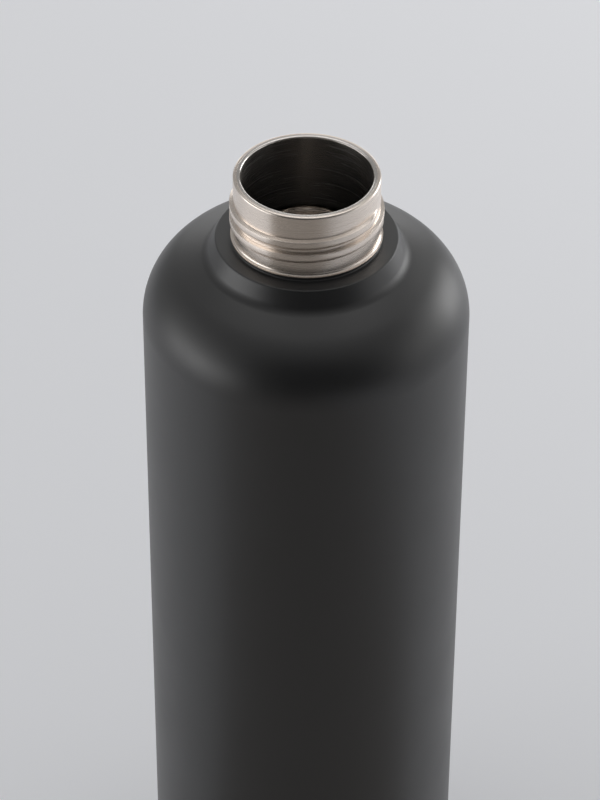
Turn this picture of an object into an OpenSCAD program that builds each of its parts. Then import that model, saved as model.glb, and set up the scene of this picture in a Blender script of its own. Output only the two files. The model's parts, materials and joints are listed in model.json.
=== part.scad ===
// Double-wall vacuum flask, open at the mouth: a coated outer shell and a bare steel liner,
// joined at the lip, with an evacuated gap between them.
// Millimetres, +Z up. The origin is the centre of the foot, on the surface that it stands on.

/* [Body] */
// Height from the foot to the top of the lip
flask_h = 262; // [200:1:320]
// Outer diameter of the body
body_d = 85; // [82:0.5:92]
// Sheet thickness of the outer shell and its base
shell_t = 0.6; // [0.5:0.05:0.7]
// Sheet thickness of the inner liner
liner_t = 0.5; // [0.4:0.05:0.55]
// Width of the evacuated gap between the straight walls
vacuum_gap = 2.2; // [1.8:0.1:2.8]

/* [Shoulder] */
// Radius of the bend that turns the straight wall into the shoulder
bend_r = 18.5; // [15:0.5:20]
// Radius of the shallow dome above the bend, centred on the axis
dome_r = 71.5; // [66:0.5:80]

/* [Collar] */
// Diameter of the raised collar round the neck, at its top
collar_d = 47; // [46:0.5:50]
// Height of the collar's top above the dome, carried on to the collar's radius
collar_step = 4.2; // [3.8:0.1:5]
// Angle by which the collar's wall leans inwards as it rises
collar_lean = 25; // [15:1:30]
// Radius of the hollow where the collar's wall meets the dome
collar_root_r = 4; // [2:0.1:4.5]
// Radius of the collar's upper edge
collar_edge_r = 0.5; // [0.3:0.05:0.7]

/* [Neck] */
// Outer diameter of the neck above, between and below the thread's turns
neck_d = 37.6; // [37.2:0.1:38]
// Inner diameter of the mouth
mouth_d = 33.7; // [32.5:0.1:34]
// Height of the lip above the collar's flat top
neck_h = 19; // [18.6:0.1:21]
// Sheet thickness of the neck
neck_t = 0.6; // [0.5:0.05:0.65]
// Outer diameter of the flared foot of the neck
flare_d = 39.1; // [38.8:0.1:39.4]
// Radius of both edges of the lip, which is flat between them
lip_edge_r = 0.55; // [0.4:0.05:0.7]
// Depth below the lip at which the neck and the liner part
lip_seam_h = 3; // [2:0.5:4]

/* [Thread] */
// Rise of the thread in one turn
thread_pitch = 4; // [3.8:0.1:4.2]
// Number of turns, with the fades at both ends
thread_turns = 2; // [1.5:0.1:2]
// Height of the ridge above the neck
thread_depth = 0.95; // [0.8:0.05:1.1]
// Width of the ridge at its crest
thread_crest_w = 1.5; // [1.2:0.05:1.6]
// Height of the steep flank above the crest
thread_upper_h = 0.4; // [0.2:0.05:0.5]
// Height of the sloping flank below the crest
thread_lower_h = 1.45; // [0.8:0.05:1.6]
// Depth below the lip of the middle of the crest at its upper end
thread_drop = 6.9; // [6:0.1:7.2]
// Direction in which the ridge's upper end lies, from +X towards +Y
thread_start = -15; // [-180:5:180]
// Angle over which each end of the ridge rises from the wall
thread_fade = 22; // [12:1:40]

/* [Base] */
// Radius of the bend from the wall into the foot
foot_bend_r = 4; // [3:0.5:5]
// Height of the weld between the shell and the base
base_h = 6; // [5.5:0.5:8]
// Inner diameter of the foot ring
foot_inner_d = 71; // [66:0.5:73]
// Height of the recess inside the foot ring
recess_h = 3.2; // [3:0.1:3.6]
// Thickness of the cover that closes the recess
cover_t = 0.8; // [0.6:0.1:1]

/* [Liner] */
// Height of the liner's bottom above the foot
liner_floor_z = 11; // [10.5:0.5:14]
// Height of the weld between the liner and its bottom
liner_weld_z = 24; // [22:1:28]
// Radius of the bend from the liner's bottom into its wall
liner_bend_r = 9; // [6:0.5:10]
// Radius of the hollow where the liner's neck meets its shoulder
liner_root_r = 4; // [3:0.1:4.5]

/* [Vacuum parts] */
// Thickness of the copper foil round the liner
foil_t = 0.15; // [0.1:0.05:0.3]
// Diameter of the getter pellet
getter_d = 10; // [8:0.5:11]
// Thickness of the getter pellet
getter_t = 2; // [1.5:0.1:2.2]
// Distance of the getter from the axis
getter_x = 20; // [17:1:22]
// Diameter of the evacuation hole
vent_d = 2; // [1:0.1:3]

/* [Hidden] */
$fn = 128;
small_fn = 64;                                // facets of the small roundings
eps = 0.01;                                   // overlap that makes a cut run past a face
over = 1;                                     // length by which an inner outline runs past its piece's end

steel = [0.72, 0.69, 0.65];
coating = [0.16, 0.16, 0.17];

body_r = body_d / 2;
collar_r = collar_d / 2;
neck_r = neck_d / 2;
mouth_r = mouth_d / 2;
flare_r = flare_d / 2;
collar_top_z = flask_h - neck_h;

// The bend and the dome share a normal where they meet, at this angle above the horizontal.
bend_x = body_r - bend_r;
centre_gap = dome_r - bend_r;
meet_angle = acos(bend_x / centre_gap);
dome_foot_z = collar_top_z - collar_step;     // where the dome, carried on, meets the collar's wall
dome_z = dome_foot_z - sqrt(pow(dome_r, 2) - pow(collar_r, 2));
bend_z = dome_z + centre_gap * sin(meet_angle);

seam_r = (neck_r + mouth_r) / 2;              // the neck and the liner meet on this radius at the lip
flare_edge_h = 0.3;
flare_gap = 0.9;
flare_z = collar_top_z + flare_gap;           // underside of the neck's flared foot
sleeve_h = 1.6;                               // length of the neck inside the shell, below the collar's top
upstand_t = 0.45;
upstand_root_r = 0.4;
min_edge_r = 0.1;                             // smallest radius on the inner side of a rounded edge

liner_inset = shell_t + vacuum_gap;           // from the shell's outer face to the liner's outer face
liner_r = body_r - liner_inset;

recess_edge_r = 1.2;
cover_z = 0.8;                                // the cover's underside, just above the foot ring
cover_rim_t = 1;
cover_edge_r = 0.6;
dimple_r = 5;
dimple_floor_r = 3.6;
dimple_h = 1.4;
seal_r = 3.2;
seal_edge_r = 0.8;
seal_sink = 0.3;                              // depth of the seal's face in the dimple

foil_end_gap = 4;                             // bare wall above the foil
foil_weld_gap = 2;                            // bare wall between the liner's weld and the foil
holder_t = 0.4;
holder_w = 7;
holder_foot = 4;

steps_per_turn = 48;
thread_root = 0.2;                            // depth to which the ridge is let into the wall
thread_end_t = 0.1;                           // thickness of the ridge's section at its very ends

// A filled outline from the axis out to the body's surface, moved inwards by inset.
// It runs from z_low up the wall, round the bend and over the dome.
module body_outline(inset, z_low) {
    reach = 2 * dome_r;
    translate([0, z_low]) square([body_r - inset, bend_z - z_low]);
    intersection() {
        translate([bend_x, bend_z]) circle(r = bend_r - inset);
        translate([bend_x, bend_z])
            polygon([[0, 0], [reach, 0], [reach, reach * tan(meet_angle)]]);
    }
    intersection() {
        translate([0, dome_z]) circle(r = dome_r - inset);
        translate([0, dome_z])
            polygon([[0, 0], [reach * cos(meet_angle), reach * sin(meet_angle)], [0, reach]]);
    }
}

// The hollow between the dome and a wall that leans inwards as it rises, moved inwards by inset.
// The wall has the radius wall_r at the height of the collar's top.
module root_hollow(wall_r, root_r, inset, lean = 0) {
    out = wall_r * cos(lean) + (collar_top_z - dome_z) * sin(lean) + root_r;
    along = sqrt(pow(dome_r + root_r, 2) - pow(out, 2));
    centre_x = out * cos(lean) - along * sin(lean);
    centre_z = dome_z + out * sin(lean) + along * cos(lean);
    touch = (dome_r - inset) / (dome_r + root_r);
    wall_x = centre_x - (root_r + inset) * cos(lean);
    wall_z = centre_z - (root_r + inset) * sin(lean);
    difference() {
        polygon([[0, dome_z], [centre_x * touch, dome_z + (centre_z - dome_z) * touch],
                 [centre_x, centre_z], [wall_x, wall_z], [0, wall_z]]);
        translate([centre_x, centre_z]) circle(r = root_r + inset);
    }
}

// A rectangle from the axis to radius r whose upper outer corner is rounded.
module round_topped(r, z_low, z_high, edge_r) {
    translate([0, z_low]) square([r, z_high - z_low - edge_r]);
    translate([0, z_low]) square([r - edge_r, z_high - z_low]);
    intersection() {
        translate([r - edge_r, z_high - edge_r]) circle(r = edge_r, $fn = small_fn);
        translate([r - edge_r, z_high - edge_r]) square(edge_r);
    }
}

// A rectangle from the axis to radius r whose lower outer corner is rounded.
module round_bottomed(r, z_low, z_high, edge_r) {
    translate([0, z_low + z_high]) mirror([0, 1]) round_topped(r, z_low, z_high, edge_r);
}

// The radius of the collar's leaning wall at height z, moved inwards by inset.
function wall_radius(z, inset) =
    collar_r + (collar_top_z - z) * tan(collar_lean) - inset / cos(collar_lean);

// The collar's filled outline, with its leaning wall and rounded upper edge, moved inwards by inset.
module collar_outline(inset) {
    low_z = dome_foot_z - collar_step;
    edge_r = max(collar_edge_r - inset, min_edge_r);
    edge_z = collar_top_z - inset - edge_r;
    edge_x = wall_radius(edge_z, inset + edge_r);
    normal = [cos(collar_lean), sin(collar_lean)];
    polygon([[0, low_z], [wall_radius(low_z, inset), low_z], [edge_x, edge_z] + edge_r * normal,
             [edge_x, edge_z], [edge_x, edge_z + edge_r], [0, edge_z + edge_r]]);
    translate([edge_x, edge_z])
        intersection() {
            circle(r = edge_r, $fn = small_fn);
            polygon([[0, 0], 2 * edge_r * normal, [2 * edge_r, 2 * edge_r], [0, 2 * edge_r]]);
        }
}

// The shell's filled outline with its raised collar, moved inwards by inset.
module shell_outline(inset, z_low) {
    body_outline(inset, z_low);
    root_hollow(collar_r, collar_root_r, inset, collar_lean);
    collar_outline(inset);
}

// The short turned-up edge of the collar, which the neck's flare stands on.
module upstand() {
    difference() {
        translate([neck_r, collar_top_z - shell_t])
            square([upstand_t + upstand_root_r, flare_z - collar_top_z + shell_t]);
        translate([neck_r + upstand_t + upstand_root_r, collar_top_z + upstand_root_r])
            circle(r = upstand_root_r, $fn = small_fn);
        translate([neck_r + upstand_t, collar_top_z + upstand_root_r]) square(flask_h);
    }
}

module outer_shell() {
    color(coating)
    rotate_extrude() {
        difference() {
            shell_outline(0, base_h);
            shell_outline(shell_t, base_h - over);
            square([neck_r, flask_h]);
        }
        upstand();
    }
}

// The half of the lip outside the seam, with its rounded edge.
module outer_half_lip() {
    difference() {
        round_topped(neck_r, flask_h - lip_seam_h, flask_h, lip_edge_r);
        square([seam_r, flask_h + over]);
    }
}

module neck_outline() {
    flare_h = flare_edge_h + flare_r - neck_r;
    outer_half_lip();
    translate([neck_r - neck_t, collar_top_z - sleeve_h])
        square([neck_t, flask_h - lip_edge_r - collar_top_z + sleeve_h]);
    difference() {
        translate([neck_r - neck_t, flare_z]) square([flare_r - neck_r + neck_t, flare_h]);
        translate([flare_r, flare_z + flare_h]) circle(r = flare_r - neck_r, $fn = small_fn);
    }
}

// How far the ridge stands out at an angle along it, as a share of its full height.
function ridge_rise(a) =
    let (end = thread_turns * 360, edge = min(a, end - a) / thread_fade)
    edge >= 1 ? 1 : edge * edge * (3 - 2 * edge);

// One section of the ridge: root below, crest below, crest above, root above.
// The flanks run on past the wall's face to the depth of the root.
function ridge_section(a) =
    let (az = thread_start - a,
         z = flask_h - thread_drop - thread_pitch * a / 360,
         sunk = neck_r - thread_root,
         full_t = thread_root + thread_depth,
         top = sunk + thread_end_t + (full_t - thread_end_t) * ridge_rise(a),
         run_on = full_t / thread_depth,
         crest = thread_crest_w / 2)
    [for (p = [[sunk, -crest - thread_lower_h * run_on], [top, -crest],
               [top, crest], [sunk, crest + thread_upper_h * run_on]])
        [p[0] * cos(az), p[0] * sin(az), z + p[1]]];

// Right-handed helical ridge: it drops as it runs clockwise, seen from above.
module thread_ridge() {
    n = round(thread_turns * steps_per_turn);
    corners = 4;
    points = [for (i = [0 : n], p = ridge_section(i * thread_turns * 360 / n)) p];
    sides = [for (i = [0 : n - 1], j = [0 : corners - 1])
        let (k = (j + 1) % corners, a = i * corners, b = a + corners)
        each [[a + j, b + j, a + k], [a + k, b + j, b + k]]];
    first = [[0, 1, 2], [0, 2, 3]];
    last = [for (f = first) [n * corners + f[2], n * corners + f[1], n * corners + f[0]]];
    polyhedron(points = points, faces = concat(sides, first, last));
}

module threaded_neck() {
    color(steel) {
        rotate_extrude() neck_outline();
        thread_ridge();
    }
}

// The base's filled outline with the recess cut from below, moved inwards by inset.
module base_outline(inset, z_high) {
    difference() {
        round_bottomed(body_r - inset, inset, z_high, foot_bend_r - inset);
        translate([0, -eps])
            round_topped(foot_inner_d / 2 + inset, 0, recess_h + inset + eps, recess_edge_r + inset);
    }
}

// The conical dimple in the middle of the recess.
module dimple(thickness) {
    translate([0, recess_h + thickness])
        polygon([[0, -eps], [dimple_r, -eps], [dimple_r, 0], [dimple_floor_r, dimple_h], [0, dimple_h]]);
}

module outer_base() {
    color(coating)
    rotate_extrude()
        difference() {
            union() {
                difference() {
                    base_outline(0, base_h);
                    base_outline(shell_t, base_h + over);
                }
                dimple(shell_t);
            }
            dimple(0);
            square([vent_d / 2, base_h]);
        }
}

module base_cover() {
    cover_r = foot_inner_d / 2;
    color(steel)
    rotate_extrude()
        difference() {
            round_bottomed(cover_r, cover_z, recess_h - recess_edge_r, cover_edge_r);
            translate([0, cover_z + cover_t]) square([cover_r - cover_rim_t, recess_h]);
        }
}

// The liner's filled outline: body, shoulder and neck, moved inwards by inset.
module liner_outline(inset, z_low) {
    body_outline(liner_inset + inset, z_low);
    root_hollow(mouth_r + liner_t + liner_inset, liner_root_r - liner_inset, liner_inset + inset);
    translate([0, dome_foot_z]) square([mouth_r + liner_t - inset, flask_h - lip_edge_r - dome_foot_z]);
}

module inner_liner() {
    color(steel)
    rotate_extrude() {
        difference() {
            liner_outline(0, liner_weld_z);
            liner_outline(liner_t, liner_weld_z - over);
            square([mouth_r, flask_h]);
        }
        translate([2 * seam_r, 0]) mirror([1, 0]) outer_half_lip();
    }
}

module liner_bottom() {
    color(steel)
    rotate_extrude()
        difference() {
            round_bottomed(liner_r, liner_floor_z, liner_weld_z, liner_bend_r);
            round_bottomed(liner_r - liner_t, liner_floor_z + liner_t, liner_weld_z + over,
                           liner_bend_r - liner_t);
        }
}

module radiation_foil() {
    low_z = liner_weld_z + foil_weld_gap;
    color("chocolate")
    rotate_extrude()
        translate([liner_r, low_z]) square([foil_t, bend_z - foil_end_gap - low_z]);
}

// A bent strip under the liner's bottom: two feet, two legs and the web that carries the pellet.
module getter_holder() {
    leg_x = getter_d / 2 + holder_t / 2;
    web_z = liner_floor_z - getter_t - holder_t;
    color("silver")
    translate([getter_x, 0, 0]) {
        translate([-leg_x - holder_t, -holder_w / 2, web_z])
            cube([2 * (leg_x + holder_t), holder_w, holder_t]);
        for (side = [-1, 1]) {
            translate([side * (leg_x + holder_t / 2) - holder_t / 2, -holder_w / 2, web_z])
                cube([holder_t, holder_w, getter_t + holder_t]);
            translate([side * (leg_x + holder_foot / 2) - holder_foot / 2, -holder_w / 2,
                       liner_floor_z - holder_t])
                cube([holder_foot, holder_w, holder_t]);
        }
    }
}

module getter() {
    color("dimgray")
    translate([getter_x, 0, liner_floor_z - getter_t])
        cylinder(d = getter_d, h = getter_t, $fn = small_fn);
}

module vacuum_seal() {
    seal_z = recess_h + seal_sink;
    dimple_top_z = recess_h + dimple_h;
    color("teal")
    rotate_extrude($fn = small_fn) {
        round_bottomed(seal_r, seal_z, dimple_top_z, seal_edge_r);
        translate([0, seal_z]) square([vent_d / 2, dimple_top_z + shell_t - seal_z]);
    }
}

outer_shell();
threaded_neck();
outer_base();
base_cover();
inner_liner();
liner_bottom();
radiation_foil();
getter_holder();
getter();
vacuum_seal();
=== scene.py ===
"""Looks of an open double-wall vacuum flask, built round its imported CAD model. Metres, +Z up."""
import json
import math
import bmesh
import bpy
from mathutils import Matrix, Vector


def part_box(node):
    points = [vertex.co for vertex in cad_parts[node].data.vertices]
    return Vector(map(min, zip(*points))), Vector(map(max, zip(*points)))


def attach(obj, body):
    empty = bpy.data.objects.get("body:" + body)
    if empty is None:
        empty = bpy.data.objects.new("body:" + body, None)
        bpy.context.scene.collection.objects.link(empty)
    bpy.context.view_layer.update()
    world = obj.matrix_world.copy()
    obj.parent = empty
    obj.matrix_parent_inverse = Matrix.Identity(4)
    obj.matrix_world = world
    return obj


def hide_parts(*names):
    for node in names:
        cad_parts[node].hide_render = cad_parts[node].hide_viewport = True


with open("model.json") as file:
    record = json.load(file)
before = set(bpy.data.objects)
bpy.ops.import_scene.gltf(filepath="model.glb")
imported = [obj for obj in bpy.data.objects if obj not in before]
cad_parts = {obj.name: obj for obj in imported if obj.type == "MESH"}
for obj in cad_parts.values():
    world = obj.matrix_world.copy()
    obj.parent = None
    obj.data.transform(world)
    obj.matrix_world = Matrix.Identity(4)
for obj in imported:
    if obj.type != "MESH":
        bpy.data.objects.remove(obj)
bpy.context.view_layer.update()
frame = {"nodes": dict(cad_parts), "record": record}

MM = 0.001
BODY = "root"

# ---------------------------------------------------------------- sizes, from the frame where it has them
mounts = {m["name"]: m for m in frame["record"]["mounts"]}


def mount_radius(name):
    return mounts[name]["dims"]["r_mm"] * MM


shell_low, shell_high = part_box("outer_shell")
neck_low, neck_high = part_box("threaded_neck")
liner_low, liner_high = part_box("inner_liner")
bottom_low, bottom_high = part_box("liner_bottom")
cover_low, cover_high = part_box("base_cover")

FLASK_H = neck_high.z
BODY_R = mount_radius("barrel")
NECK_R = 18.8 * MM
CREST_R = mount_radius("neck_thread")
MOUTH_R = mount_radius("mouth")
BASE_H = shell_low.z
LINER_R = bottom_high.x
COVER_R = cover_high.x

SHELL_T = 0.6 * MM
LINER_T = 0.5 * MM
NECK_T = 0.6 * MM
BEND_R = 18.5 * MM
DOME_R = 71.5 * MM
COLLAR_R = 23.5 * MM
COLLAR_STEP = 4.2 * MM
COLLAR_LEAN = math.radians(25)
COLLAR_ROOT_R = 4.0 * MM
COLLAR_EDGE_R = 0.5 * MM
NECK_H = 19.0 * MM
FLARE_R = 19.55 * MM
FLARE_GAP = 0.9 * MM
FLARE_EDGE_H = 0.3 * MM
UPSTAND_T = 0.45 * MM
UPSTAND_ROOT_R = 0.4 * MM
LIP_EDGE_R = 0.55 * MM
LIP_SEAM_H = 3.0 * MM
LINER_ROOT_R = 4.0 * MM
LINER_BEND_R = 9.0 * MM
FOOT_BEND_R = 4.0 * MM
RECESS_H = 3.2 * MM
RECESS_EDGE_R = 1.2 * MM
COVER_T = 0.8 * MM

SEAM_BEVEL = 0.03 * MM
FLARE_FOOT_R = 0.12 * MM
MIN_EDGE_R = 0.1 * MM
DIMPLE_R = 5.0 * MM
DIMPLE_FLOOR_R = 3.6 * MM
DIMPLE_H = 1.4 * MM
VENT_R = 1.0 * MM
COVER_RIM_T = 1.0 * MM
COVER_EDGE_R = 0.6 * MM

THREAD_PITCH = 4.0 * MM
THREAD_TURNS = 2.0
THREAD_CREST_W = 1.5 * MM
THREAD_UPPER_H = 0.4 * MM
THREAD_LOWER_H = 1.45 * MM
THREAD_DROP = 6.9 * MM
THREAD_START = math.radians(-15)
THREAD_FADE = math.radians(22)

COLLAR_TOP = FLASK_H - NECK_H
SEAM_R = (NECK_R + MOUTH_R) / 2
LIP_Z = FLASK_H - LIP_EDGE_R
FLARE_Z = COLLAR_TOP + FLARE_GAP
DOME_Z = COLLAR_TOP - COLLAR_STEP - math.sqrt(DOME_R ** 2 - COLLAR_R ** 2)
BEND_X = BODY_R - BEND_R
MEET = math.acos(BEND_X / (DOME_R - BEND_R))
BEND_Z = DOME_Z + (DOME_R - BEND_R) * math.sin(MEET)
LINER_INSET = BODY_R - LINER_R


# ---------------------------------------------------------------- outlines in the (radius, height) plane
def arc(cx, cz, r, start, end, steps=16):
    """Points along an arc; the angles are in degrees from +r towards +z."""
    angles = [math.radians(start + (end - start) * i / steps) for i in range(steps + 1)]
    return [(cx + r * math.cos(a), cz + r * math.sin(a)) for a in angles]


def guarded(outline, closed, gap=0.12 * MM):
    """The outline with a point near both ends of each long straight run, which keeps the shading of its
    rounded corners from spreading along the run."""
    out = []
    count = len(outline)
    for i, a in enumerate(outline):
        out.append(a)
        if i == count - 1 and not closed:
            break
        b = outline[(i + 1) % count]
        length = math.dist(a, b)
        if length > 5 * gap:
            for share in (gap / length, 1 - gap / length):
                out.append((a[0] + (b[0] - a[0]) * share, a[1] + (b[1] - a[1]) * share))
    return out


def bend(inset, steps=40):
    """The bend, from the straight wall's top to the point where it meets the dome."""
    return arc(BEND_X, BEND_Z, BEND_R - inset, 0, math.degrees(MEET), steps)


def root_arc(wall_r, root_r, inset, lean=0.0, steps=20):
    """The dome from the bend to the hollow, and the hollow up to a wall that leans inwards as it rises and
    has the radius wall_r at the height of the collar's top."""
    out = wall_r * math.cos(lean) + (COLLAR_TOP - DOME_Z) * math.sin(lean) + root_r
    along = math.sqrt((DOME_R + root_r) ** 2 - out ** 2)
    centre_x = out * math.cos(lean) - along * math.sin(lean)
    centre_z = DOME_Z + out * math.sin(lean) + along * math.cos(lean)
    touch = math.degrees(math.atan2(centre_z - DOME_Z, centre_x))
    dome = arc(0, DOME_Z, DOME_R - inset, math.degrees(MEET), touch, steps)
    hollow = arc(centre_x, centre_z, root_r + inset, touch - 180, math.degrees(lean) - 180, steps)
    return dome[1:] + hollow[1:]


def shell_side(inset):
    """One side of the outer shell, from its lower edge up to the collar's flat top."""
    edge_r = max(COLLAR_EDGE_R - inset, MIN_EDGE_R)
    edge_z = COLLAR_TOP - inset - edge_r
    edge_x = (COLLAR_R + (COLLAR_TOP - edge_z) * math.tan(COLLAR_LEAN)
              - (inset + edge_r) / math.cos(COLLAR_LEAN))
    return ([(BODY_R - inset, BASE_H)] + bend(inset)
            + root_arc(COLLAR_R, COLLAR_ROOT_R, inset, COLLAR_LEAN)
            + arc(edge_x, edge_z, edge_r, math.degrees(COLLAR_LEAN), 90, 10))


def shell_outline():
    root = UPSTAND_ROOT_R
    upstand = NECK_R + UPSTAND_T
    return (shell_side(0)
            + arc(upstand + root, COLLAR_TOP + root, root, -90, -180, 8)
            + [(upstand, FLARE_Z), (NECK_R, FLARE_Z), (NECK_R, COLLAR_TOP - SHELL_T)]
            + shell_side(SHELL_T)[::-1])


def liner_side(inset):
    """One side of the liner, from its weld up the wall, over the shoulder and up the neck."""
    wall = MOUTH_R + LINER_T + LINER_INSET
    return ([(LINER_R - inset, liner_low.z)] + bend(LINER_INSET + inset)
            + root_arc(wall, LINER_ROOT_R - LINER_INSET, LINER_INSET + inset))


def liner_outline():
    lip = arc(MOUTH_R + LIP_EDGE_R, LIP_Z, LIP_EDGE_R, 90, 180, 12)
    return (liner_side(0)
            + [(MOUTH_R + LINER_T, FLASK_H - LIP_SEAM_H), (SEAM_R, FLASK_H - LIP_SEAM_H),
               (SEAM_R, FLASK_H - SEAM_BEVEL), (SEAM_R - SEAM_BEVEL, FLASK_H)]
            + lip
            + liner_side(LINER_T)[::-1])


def bottom_outline():
    def side(inset):
        r, bend_r = LINER_R - inset, LINER_BEND_R - inset
        low = bottom_low.z + inset
        return [(r, bottom_high.z)] + arc(r - bend_r, low + bend_r, bend_r, 0, -90, 24) + [(0, low)]
    return side(0) + side(LINER_T)[::-1]


def base_outline():
    def side(inset):
        r, bend_r = BODY_R - inset, FOOT_BEND_R - inset
        inner, top, edge = COVER_R + inset, RECESS_H + inset, RECESS_EDGE_R + inset
        return ([(r, BASE_H)] + arc(r - bend_r, inset + bend_r, bend_r, 0, -90, 16)
                + [(inner, inset)] + arc(inner - edge, top - edge, edge, 0, 90, 10))
    low = [(DIMPLE_R, RECESS_H), (DIMPLE_FLOOR_R, RECESS_H + DIMPLE_H), (VENT_R, RECESS_H + DIMPLE_H)]
    high = [(r, z + SHELL_T) for r, z in low]
    return side(0) + low + high[::-1] + side(SHELL_T)[::-1]


def cover_outline():
    low, high = cover_low.z, cover_high.z
    inner = COVER_R - COVER_RIM_T
    return ([(0, low)] + arc(COVER_R - COVER_EDGE_R, low + COVER_EDGE_R, COVER_EDGE_R, -90, 0, 8)
            + [(COVER_R, high), (inner, high), (inner, low + COVER_T), (0, low + COVER_T)])


def neck_outline():
    """The neck's section, without its thread."""
    flare = FLARE_R - NECK_R
    foot_z = FLARE_Z + FLARE_EDGE_H
    inner = NECK_R - NECK_T
    edge = FLARE_FOOT_R
    return ([(inner, neck_low.z), (NECK_R, neck_low.z), (NECK_R, FLARE_Z), (FLARE_R - edge, FLARE_Z)]
            + arc(FLARE_R - edge, FLARE_Z + edge, edge, -90, 0, 4)[1:]
            + arc(FLARE_R, foot_z + flare, flare, -90, -180, 10)
            + arc(NECK_R - LIP_EDGE_R, LIP_Z, LIP_EDGE_R, 0, 90, 12)
            + [(SEAM_R + SEAM_BEVEL, FLASK_H), (SEAM_R, FLASK_H - SEAM_BEVEL),
               (SEAM_R, FLASK_H - LIP_SEAM_H), (inner, FLASK_H - LIP_SEAM_H)])


# ---------------------------------------------------------------- meshes
def turned(outline, segments, closed=True):
    """The points and faces of an outline turned round the Z axis."""
    outline = guarded(outline, closed)
    verts, rings = [], []
    for r, z in outline:
        if r < 1e-9:
            rings.append([len(verts)] * segments)
            verts.append((0, 0, z))
            continue
        rings.append(range(len(verts), len(verts) + segments))
        for s in range(segments):
            a = 2 * math.pi * s / segments
            verts.append((r * math.cos(a), r * math.sin(a), z))
    faces = []
    count = len(rings)
    for i in range(count if closed else count - 1):
        a, b = rings[i], rings[(i + 1) % count]
        for s in range(segments):
            t = (s + 1) % segments
            corners = list(dict.fromkeys((a[s], a[t], b[t], b[s])))
            if len(corners) > 2:
                faces.append(corners)
    return verts, faces


def smoothstep(x):
    """0 below 0, 1 above 1, and a soft curve between."""
    x = min(max(x, 0.0), 1.0)
    return x * x * (3 - 2 * x)


def eased(u, ease=0.16):
    """A straight ramp from 0 to 1 with both ends rounded."""
    if u > 0.5:
        return 1 - eased(1 - u, ease)
    return (u * u / (2 * ease) if u < ease else u - ease / 2) / (1 - ease)


def ridge_profile():
    """Heights along the ridge's section with the share of its full height there, from below upwards."""
    half = THREAD_CREST_W / 2
    shares = [0, 0.04, 0.08, 0.12, 0.16, 0.3, 0.5, 0.7, 0.84, 0.88, 0.92, 0.96, 1]
    lower = [(-half - THREAD_LOWER_H * (1 - u), eased(u)) for u in shares]
    upper = [(half + THREAD_UPPER_H * u, eased(1 - u)) for u in shares]
    return lower + upper


def thread_ridge(segments, sunk=0.02 * MM, root=0.25 * MM):
    """The helical ridge, a closed strip whose feet run into the neck's wall."""
    profile = ridge_profile()
    count = round(THREAD_TURNS * segments)
    verts, faces = [], []
    for k in range(count + 1):
        run = 2 * math.pi * k / segments
        fade = smoothstep(min(run, 2 * math.pi * THREAD_TURNS - run) / THREAD_FADE)
        crest_z = FLASK_H - THREAD_DROP - THREAD_PITCH * k / segments
        section = [(NECK_R - sunk + (CREST_R - NECK_R + sunk) * fade * share, crest_z + z)
                   for z, share in profile]
        section += [(NECK_R - root, section[-1][1]), (NECK_R - root, section[0][1])]
        azimuth = THREAD_START - run
        verts += [(r * math.cos(azimuth), r * math.sin(azimuth), z) for r, z in section]
    n = len(profile) + 2
    for k in range(count):
        for j in range(n):
            i, t = k * n, (j + 1) % n
            faces.append((i + j, i + t, i + n + t, i + n + j))
    faces += [tuple(range(n)), tuple(range(count * n, count * n + n))[::-1]]
    return verts, faces


def mesh_object(name, parts, sharp=40):
    """One object from lists of points and faces."""
    verts, faces = [], []
    for part_verts, part_faces in parts:
        base = len(verts)
        verts += part_verts
        faces += [[base + i for i in face] for face in part_faces]
    mesh = bpy.data.meshes.new(name)
    mesh.from_pydata(verts, [], faces)
    bm = bmesh.new()
    bm.from_mesh(mesh)
    bmesh.ops.recalc_face_normals(bm, faces=bm.faces)
    bm.to_mesh(mesh)
    bm.free()
    mesh.shade_smooth()
    mesh.set_sharp_from_angle(angle=math.radians(sharp))
    obj = bpy.data.objects.new(name, mesh)
    bpy.context.scene.collection.objects.link(obj)
    return obj


# ---------------------------------------------------------------- materials
def new_material(name, colour, metallic=0.0, roughness=0.5):
    """A Principled material and its node tree's handy parts."""
    mat = bpy.data.materials.new(name)
    mat.use_nodes = True
    tree = mat.node_tree
    shader = tree.nodes["Principled BSDF"]
    shader.inputs["Base Color"].default_value = (*colour, 1)
    shader.inputs["Metallic"].default_value = metallic
    shader.inputs["Roughness"].default_value = roughness
    return mat, tree, shader


def noise(tree, scale, detail, stretch=(1, 1, 1)):
    """A noise texture in object space, stretched along the axes."""
    where = tree.nodes.new("ShaderNodeTexCoord")
    mapping = tree.nodes.new("ShaderNodeMapping")
    mapping.inputs["Scale"].default_value = stretch
    tex = tree.nodes.new("ShaderNodeTexNoise")
    tex.inputs["Scale"].default_value = scale
    tex.inputs["Detail"].default_value = detail
    tree.links.new(where.outputs["Object"], mapping.inputs["Vector"])
    tree.links.new(mapping.outputs["Vector"], tex.inputs["Vector"])
    return tex.outputs["Fac"]


def spread(tree, value, low, high):
    """Maps a 0..1 value to low..high."""
    ramp = tree.nodes.new("ShaderNodeMapRange")
    ramp.inputs["From Min"].default_value = 0.3
    ramp.inputs["From Max"].default_value = 0.7
    ramp.inputs["To Min"].default_value = low
    ramp.inputs["To Max"].default_value = high
    tree.links.new(value, ramp.inputs["Value"])
    return ramp.outputs["Result"]


def tint(tree, value, dark, light):
    """A colour between dark and light, by a 0..1 value."""
    mix = tree.nodes.new("ShaderNodeMix")
    mix.data_type = "RGBA"
    mix.inputs["A"].default_value = (*dark, 1)
    mix.inputs["B"].default_value = (*light, 1)
    tree.links.new(value, mix.inputs["Factor"])
    return mix.outputs["Result"]


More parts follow.
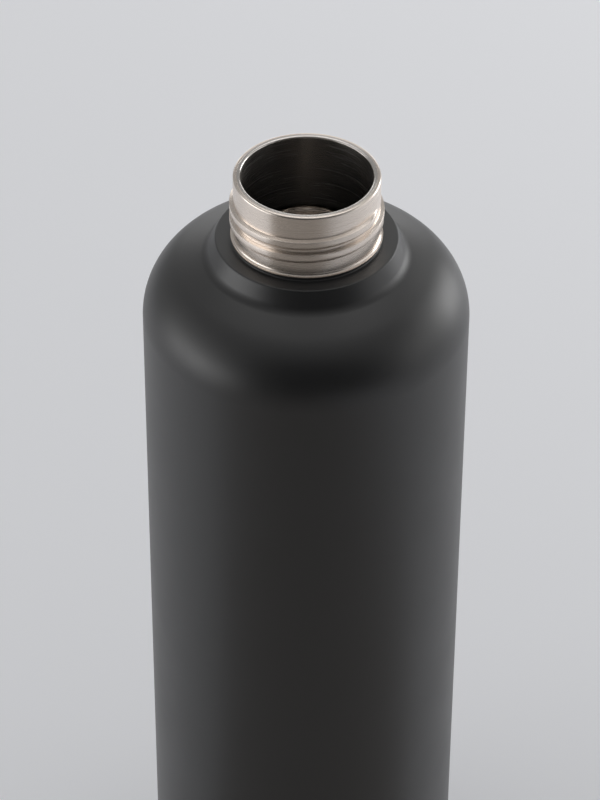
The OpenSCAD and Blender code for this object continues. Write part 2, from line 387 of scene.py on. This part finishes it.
def bump(tree, shader, height, strength, distance):
    """Roughens the shader's normals by a 0..1 height, in metres at its full height."""
    node = tree.nodes.new("ShaderNodeBump")
    node.inputs["Strength"].default_value = strength
    node.inputs["Distance"].default_value = distance
    tree.links.new(height, node.inputs["Height"])
    tree.links.new(node.outputs["Normal"], shader.inputs["Normal"])


def powder_coat():
    """Near-black coat with a very fine grain and slow changes of tone."""
    mat, tree, shader = new_material("powder_coat", (0.01, 0.01, 0.0105), roughness=0.42)
    cloud = noise(tree, 60, 3)
    grain = noise(tree, 2600, 2)
    dark, light = (0.008, 0.008, 0.0085), (0.012, 0.012, 0.0125)
    tree.links.new(tint(tree, cloud, dark, light), shader.inputs["Base Color"])
    tree.links.new(spread(tree, cloud, 0.4, 0.44), shader.inputs["Roughness"])
    shader.inputs["Specular IOR Level"].default_value = 0.75
    shader.inputs["Sheen Weight"].default_value = 0.08
    shader.inputs["Sheen Roughness"].default_value = 0.5
    bump(tree, shader, grain, 0.25, 0.00004)
    return mat


def fall(tree, value, height, run=0.002, low=0.35):
    """The value above a height, and a fraction of it below, with a soft change between."""
    where = tree.nodes.new("ShaderNodeTexCoord")
    split = tree.nodes.new("ShaderNodeSeparateXYZ")
    step = tree.nodes.new("ShaderNodeMapRange")
    step.interpolation_type = "SMOOTHSTEP"
    step.inputs["From Min"].default_value = height - run
    step.inputs["From Max"].default_value = height
    step.inputs["To Min"].default_value = low
    times = tree.nodes.new("ShaderNodeMath")
    times.operation = "MULTIPLY"
    tree.links.new(where.outputs["Object"], split.inputs["Vector"])
    tree.links.new(split.outputs["Z"], step.inputs["Value"])
    tree.links.new(step.outputs["Result"], times.inputs[0])
    tree.links.new(value, times.inputs[1])
    return times.outputs["Value"]


def turned_steel(name, colour, roughness, line_depth=0.5, anisotropy=0.75, smooth_below=None):
    """Bare steel with fine lines round the Z axis, which spread its reflections across the lines. Below the
    height smooth_below, where there is one, the steel is smoother."""
    along_lines, across_lines = 60, 9000
    mat, tree, shader = new_material(name, colour, metallic=1.0, roughness=roughness)
    around = tree.nodes.new("ShaderNodeTangent")
    around.direction_type, around.axis = "RADIAL", "Z"
    tree.links.new(around.outputs["Tangent"], shader.inputs["Tangent"])
    shader.inputs["Anisotropic"].default_value = anisotropy
    shader.inputs["Anisotropic Rotation"].default_value = 0.25
    lines = noise(tree, 1, 3, (along_lines, along_lines, across_lines))
    stain = noise(tree, 90, 3, (1, 1, 0.35))
    light = tuple(min(c * 1.05, 1) for c in colour)
    dark = tuple(c * 0.93 for c in colour)
    tree.links.new(tint(tree, stain, dark, light), shader.inputs["Base Color"])
    rough = spread(tree, lines, roughness - 0.05, roughness + 0.05)
    if smooth_below:
        rough = fall(tree, rough, smooth_below)
    tree.links.new(rough, shader.inputs["Roughness"])
    bump(tree, shader, lines, line_depth, 0.00002)
    return mat


def copper_foil():
    """Bright copper with soft creases."""
    mat, tree, shader = new_material("copper_foil", (0.78, 0.4, 0.26), metallic=1.0, roughness=0.3)
    crease = noise(tree, 70, 4)
    tree.links.new(tint(tree, crease, (0.7, 0.34, 0.22), (0.85, 0.46, 0.3)), shader.inputs["Base Color"])
    bump(tree, shader, crease, 0.5, 0.0003)
    return mat


def rolled_steel():
    """Plain strip with fine straight lines from rolling."""
    mat, tree, shader = new_material("clip_steel", (0.6, 0.59, 0.58), metallic=1.0, roughness=0.32)
    lines = noise(tree, 1, 2, (400, 9000, 400))
    tree.links.new(tint(tree, lines, (0.55, 0.54, 0.53), (0.65, 0.64, 0.62)), shader.inputs["Base Color"])
    tree.links.new(spread(tree, lines, 0.26, 0.38), shader.inputs["Roughness"])
    bump(tree, shader, lines, 0.3, 0.00002)
    return mat


def sintered_metal():
    """Dull pressed powder."""
    mat, tree, shader = new_material("getter_metal", (0.12, 0.12, 0.125), metallic=0.8, roughness=0.7)
    grain = noise(tree, 3000, 3)
    tree.links.new(tint(tree, grain, (0.07, 0.07, 0.075), (0.2, 0.2, 0.2)), shader.inputs["Base Color"])
    bump(tree, shader, grain, 0.8, 0.00008)
    return mat


def solder_glass():
    """Cloudy glass with a smooth skin."""
    mat, tree, shader = new_material("seal_glass", (0.16, 0.24, 0.22), roughness=0.15)
    cloud = noise(tree, 700, 3)
    tree.links.new(tint(tree, cloud, (0.11, 0.18, 0.16), (0.22, 0.31, 0.28)), shader.inputs["Base Color"])
    shader.inputs["Coat Weight"].default_value = 0.4
    return mat


# ---------------------------------------------------------------- the flask
def give(obj, mat):
    obj.data.materials.clear()
    obj.data.materials.append(mat)


def piece(name, node, slot, mat, *parts):
    """A piece that stands for one CAD node."""
    obj = mesh_object(name, parts)
    give(obj, mat)
    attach(obj, BODY)
    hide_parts(node)


def build_flask():
    coat = powder_coat()
    neck_steel = turned_steel("neck_steel", (0.86, 0.775, 0.7), 0.28, anisotropy=0.72)
    cover_steel = turned_steel("cover_steel", (0.6, 0.58, 0.56), 0.3)
    clip_steel = rolled_steel()
    liner_steel = turned_steel("liner_steel", (0.76, 0.72, 0.68), 0.23, line_depth=0.15, anisotropy=0.85,
                               smooth_below=COLLAR_TOP - 1.5 * MM)
    fine, middle, coarse = 384, 256, 192                # segments round the axis
    piece("coated_shell", "outer_shell", "powder_coat", coat, turned(shell_outline(), middle))
    piece("coated_base", "outer_base", "powder_coat", coat, turned(base_outline(), middle))
    piece("spun_cover", "base_cover", "cover_steel", cover_steel,
          turned(cover_outline(), coarse, closed=False))
    piece("steel_liner", "inner_liner", "liner_steel", liner_steel, turned(liner_outline(), coarse))
    piece("liner_cup", "liner_bottom", "liner_steel", liner_steel,
          turned(bottom_outline(), coarse, closed=False))
    piece("steel_neck", "threaded_neck", "neck_steel", neck_steel,
          turned(neck_outline(), fine), thread_ridge(fine))
    give(frame["nodes"]["radiation_foil"], copper_foil())
    give(frame["nodes"]["getter_holder"], clip_steel)
    give(frame["nodes"]["getter"], sintered_metal())
    give(frame["nodes"]["vacuum_seal"], solder_glass())


# ---------------------------------------------------------------- the room
def floor():
    """A plain pale floor, a hair below the foot so that the two faces don't coincide."""
    size, z = 6.0, -0.1 * MM
    mesh = bpy.data.meshes.new("floor")
    corners = [(-size, -size, z), (size, -size, z), (size, size, z), (-size, size, z)]
    mesh.from_pydata(corners, [], [tuple(range(len(corners)))])
    obj = bpy.data.objects.new("floor", mesh)
    bpy.context.scene.collection.objects.link(obj)
    mat, _, _ = new_material("floor", (0.892, 0.9, 0.93), roughness=0.9)
    give(obj, mat)


def card(name, corners, colour):
    """A flat card that only reflections see; its colour is painted shade in those reflections."""
    mesh = bpy.data.meshes.new(name)
    mesh.from_pydata(corners, [], [tuple(range(len(corners)))])
    obj = bpy.data.objects.new(name, mesh)
    bpy.context.scene.collection.objects.link(obj)
    obj.visible_camera = obj.visible_shadow = obj.visible_diffuse = False
    mat, _, _ = new_material(name, colour, roughness=0.9)
    give(obj, mat)


def cards():
    """A grey card on the floor in front of the flask and a near-black sheet behind the camera, which only
    reflections see: painted shade standing for the shaded floor in front of the flask and the dark room
    behind the camera. The grey card's left edge points at the flask's axis, so it shows as a sharp line on
    the neck."""
    near, far, right, lift = 0.05, 1.6, 0.22, 0.001
    left = math.radians(56)
    # painted shade: a grey card, seen only in reflections, in place of the shaded floor in front of the
    # flask
    card("front_floor_shade_card", [(-near * math.sin(left), -near * math.cos(left), lift),
                        (-far * math.sin(left), -far * math.cos(left), lift),
                        (-far * math.sin(left), -far, lift), (right, -far, lift), (right, -near, lift)],
         (0.45, 0.425, 0.405))
    # painted shade: a near-black sheet, seen only in reflections, in place of the dark room behind the
    # camera
    reach_left, reach_right, high = 1.5, 2.2, 2.2
    card("dark_room_shade_sheet", [(-reach_left, -far, 0), (reach_right, -far, 0), (reach_right, -far, high),
                     (-reach_left, -far, high)], (0.03, 0.03, 0.03))


def softbox(name, place, target, size, watts):
    """A rectangular area light at place, facing target."""
    lamp = bpy.data.lights.new(name, "AREA")
    lamp.shape = "RECTANGLE"
    lamp.size, lamp.size_y = size
    lamp.energy = watts
    obj = bpy.data.objects.new(name, lamp)
    bpy.context.scene.collection.objects.link(obj)
    obj.location = place
    obj.rotation_euler = (target - place).to_track_quat("-Z", "Y").to_euler()


def room():
    """Dim light from all sides; the camera sees the same pale grey as the floor."""
    world = bpy.data.worlds.new("room")
    bpy.context.scene.world = world
    world.use_nodes = True
    tree = world.node_tree
    dim = tree.nodes["Background"]
    dim.inputs["Color"].default_value = (1, 1, 1, 1)
    dim.inputs["Strength"].default_value = 0.3
    seen = tree.nodes.new("ShaderNodeBackground")
    seen.inputs["Color"].default_value = (0.62, 0.62, 0.64, 1)
    path = tree.nodes.new("ShaderNodeLightPath")
    mix = tree.nodes.new("ShaderNodeMixShader")
    tree.links.new(path.outputs["Is Camera Ray"], mix.inputs["Fac"])
    tree.links.new(dim.outputs["Background"], mix.inputs[1])
    tree.links.new(seen.outputs["Background"], mix.inputs[2])
    tree.links.new(mix.outputs["Shader"], tree.nodes["World Output"].inputs["Surface"])


def lights():
    """Large soft lights all round, aimed at the upper part of the flask."""
    middle = Vector((0, 0, 0.18))

    def around(azimuth, elevation, distance):
        """A place round the flask: azimuth 0 is the camera's side, 90 the right."""
        a, e = math.radians(azimuth), math.radians(elevation)
        out = Vector((math.sin(a) * math.cos(e), -math.cos(a) * math.cos(e), math.sin(e)))
        return middle + distance * out

    softbox("left_floor", around(285, -2, 1.2), middle, (1.15, 0.5), 2.70)
    softbox("left_low", around(280, 6, 1.2), middle, (1.15, 0.5), 1.51)
    softbox("left", around(270, 20, 1.2), middle, (1.1, 0.7), 0.7)
    softbox("right_low", around(90, 6, 1.2), middle, (1.0, 0.5), 0.54)
    softbox("right", around(95, 20, 1.2), middle, (0.9, 0.7), 0.9)
    softbox("right_back_low", around(125, 8, 1.3), middle, (0.6, 0.6), 3.89)
    softbox("right_back", around(128, 24, 1.3), middle, (0.6, 0.7), 0.8)
    softbox("back_low", around(180, 12, 1.4), middle, (1.2, 0.6), 3.24)
    softbox("back_high", around(180, 66, 1.4), middle, (1.2, 0.8), 2.81)
    softbox("top", around(180, 85, 1.3), middle, (1.4, 1.0), 1.08)


def camera():
    """A long lens above the flask, looking down at its shoulder."""
    lens, sensor = 155.0, 36.0
    distance, above_lip = 0.7109, 0.5034
    yaw, pitch, roll = math.radians(-0.119), math.radians(39.045), math.radians(0.299)
    forward = Vector((math.sin(yaw) * math.cos(pitch), math.cos(yaw) * math.cos(pitch), -math.sin(pitch)))
    level = Vector((math.cos(yaw), -math.sin(yaw), 0))
    upright = level.cross(forward)
    right = level * math.cos(roll) + upright * math.sin(roll)
    up = upright * math.cos(roll) - level * math.sin(roll)
    data = bpy.data.cameras.new("camera")
    data.lens, data.sensor_width = lens, sensor
    data.clip_start, data.clip_end = 0.01, 50
    obj = bpy.data.objects.new("camera", data)
    bpy.context.scene.collection.objects.link(obj)
    turn = Matrix((right, up, -forward)).transposed().to_4x4()
    obj.matrix_world = Matrix.Translation((0, -distance, FLASK_H + above_lip)) @ turn
    bpy.context.scene.camera = obj


camera()
build_flask()
floor()
cards()
room()
lights()
bpy.context.scene.view_settings.view_transform = "Standard"
